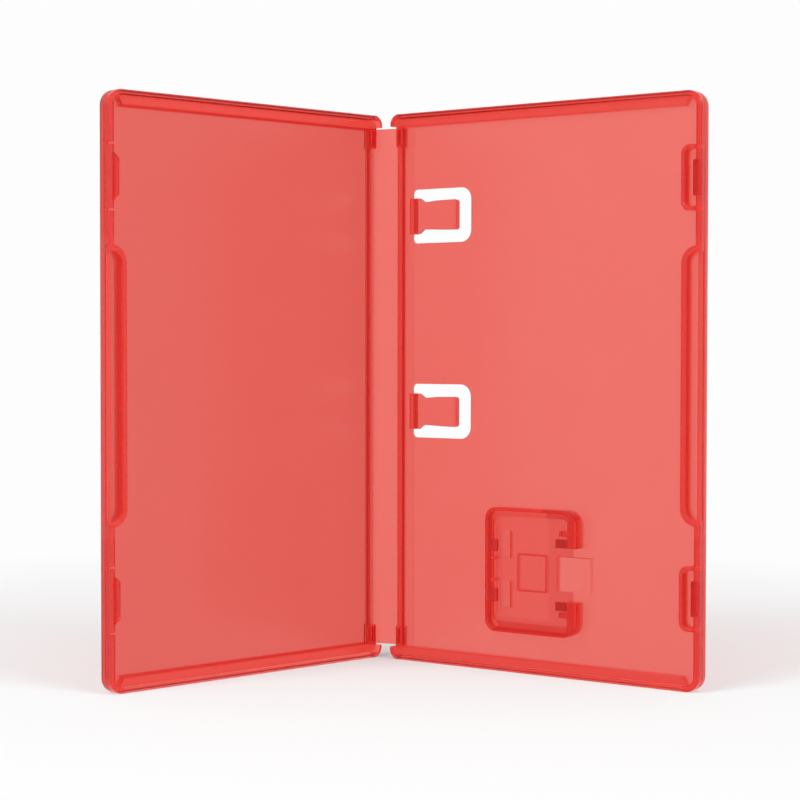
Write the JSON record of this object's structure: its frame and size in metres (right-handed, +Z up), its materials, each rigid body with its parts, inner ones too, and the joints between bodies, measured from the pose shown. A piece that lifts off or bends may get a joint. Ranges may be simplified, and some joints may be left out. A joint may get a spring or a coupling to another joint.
{
  "type": "game card case",
  "caption": "clear red moulded case for a game card, opening like a book on two living hinges, with a card holder, leaflet clips and latches",
  "frame": {"origin": "centre of the bounding box at floor level, case standing half open", "axes": "+Z up along the spine, rear tray flat in the XZ plane with its inside facing -Y, front cover swung towards -Y at the -X end"},
  "size_m": [0.1362, 0.106, 0.17],
  "materials": {
    "case": "clear red polypropylene, lightly frosted panels and glossy rims"
  },
  "bodies": {
    "rear_tray": {"rear_tray": "case", "rear_hinge_web": "case"},
    "spine": {"spine": "case", "front_hinge_web": "case"},
    "front_cover": {"front_cover": "case"}
  },
  "joints": [
    {"name": "rear_hinge", "type": "hinge", "parent": "rear_tray", "child": "spine", "pos_m": [-0.0364, 0.05253, 0.085], "axis": [0, 0, 1], "range_deg": [-14, 76], "deforming": ["rear_hinge_web"]},
    {"name": "front_hinge", "type": "hinge", "parent": "spine", "child": "front_cover", "pos_m": [-0.04611, 0.05011, 0.085], "axis": [0, 0, 1], "range_deg": [-64, 26], "deforming": ["front_hinge_web"]}
  ]
}
